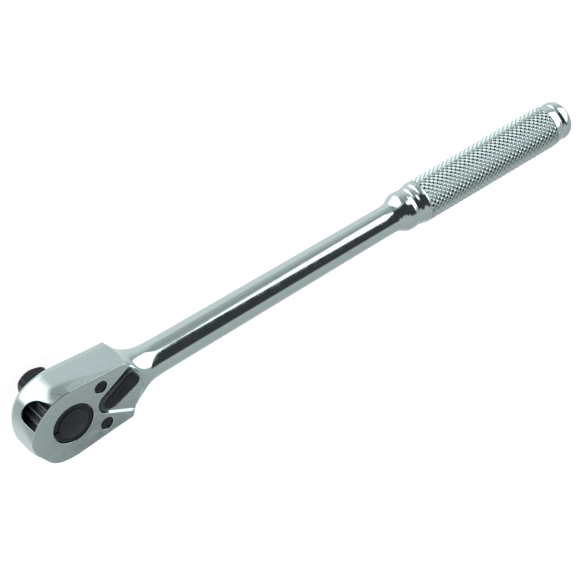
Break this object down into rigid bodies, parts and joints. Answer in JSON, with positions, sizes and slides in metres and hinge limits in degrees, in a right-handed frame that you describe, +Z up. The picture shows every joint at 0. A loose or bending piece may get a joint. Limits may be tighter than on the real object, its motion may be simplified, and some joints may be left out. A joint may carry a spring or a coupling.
{
  "type": "ratchet wrench",
  "caption": "Reversible ratchet wrench with a square drive, an oval head with a thumb lever, and a round shaft ending in a knurled grip.",
  "frame": {"origin": "centre of the square drive's end face, on the drive axis", "axes": "+Z up the drive axis towards the face with the reversing lever, +X from the drive axis along the handle"},
  "size_m": [0.2145, 0.0266, 0.0239],
  "materials": {
    "chrome_forging": "polished chrome plate on a steel forging, knurled on the grip",
    "black_oxide_plate": "black oxide, ground flat",
    "black_oxide_screw": "black oxide, machined",
    "black_oxide_drive": "black oxide, machined teeth and ground square",
    "black_oxide_ring": "black oxide spring steel",
    "bright_ball": "bright hardened ball",
    "spring_wire": "drawn spring wire",
    "black_oxide_pin": "black oxide, turned ends",
    "black_oxide_pawl": "black oxide, machined",
    "black_oxide_lever": "satin black, crowned and rounded edges"
  },
  "bodies": {
    "head_and_handle": {"handle_body": "chrome_forging", "cover_plate": "black_oxide_plate", "cover_screw_left": "black_oxide_screw", "cover_screw_right": "black_oxide_screw", "pawl_pin_left": "black_oxide_pin", "pawl_pin_right": "black_oxide_pin", "pawl_spring_left": "spring_wire", "pawl_spring_right": "spring_wire"},
    "drive": {"drive_gear": "black_oxide_drive", "retaining_ring": "black_oxide_ring", "detent_spring": "spring_wire"},
    "ball": {"detent_ball": "bright_ball"},
    "lever": {"reversing_lever": "black_oxide_lever", "selector_cam": "black_oxide_pawl", "selector_clip": "spring_wire"},
    "left_pawl": {"pawl_left": "black_oxide_pawl"},
    "right_pawl": {"pawl_right": "black_oxide_pawl"}
  },
  "joints": [
    {"name": "drive_spin", "type": "hinge", "parent": "head_and_handle", "child": "drive", "pos_m": [0, 0, 0.0168], "axis": [0, 0, 1], "continuous": true},
    {"name": "ball_press", "type": "slide", "parent": "drive", "child": "ball", "axis": [1, 0, 0], "range_m": [-0.0008, 0], "stiffness_N_per_m": 2000, "springref_m": 0.0008, "deforming": ["detent_spring"]},
    {"name": "lever_swing", "type": "hinge", "parent": "head_and_handle", "child": "lever", "pos_m": [0.013, 0, 0.0168], "axis": [0, 0, 1], "range_deg": [-53, 0]},
    {"name": "pawl_left_tilt", "type": "hinge", "parent": "head_and_handle", "child": "left_pawl", "pos_m": [0.01082, 0.00766, 0.0168], "axis": [0, 0, 1], "range_deg": [0, 15], "deforming": ["pawl_spring_left"]},
    {"name": "pawl_right_tilt", "type": "hinge", "parent": "head_and_handle", "child": "right_pawl", "pos_m": [0.01082, -0.00766, 0.0168], "axis": [0, 0, 1], "range_deg": [0, 15], "deforming": ["pawl_spring_right"]}
  ],
  "couplings": [
    {"joint": "pawl_left_tilt", "follows": "lever_swing", "ratio": -0.283},
    {"joint": "pawl_right_tilt", "follows": "lever_swing", "ratio": -0.283}
  ]
}
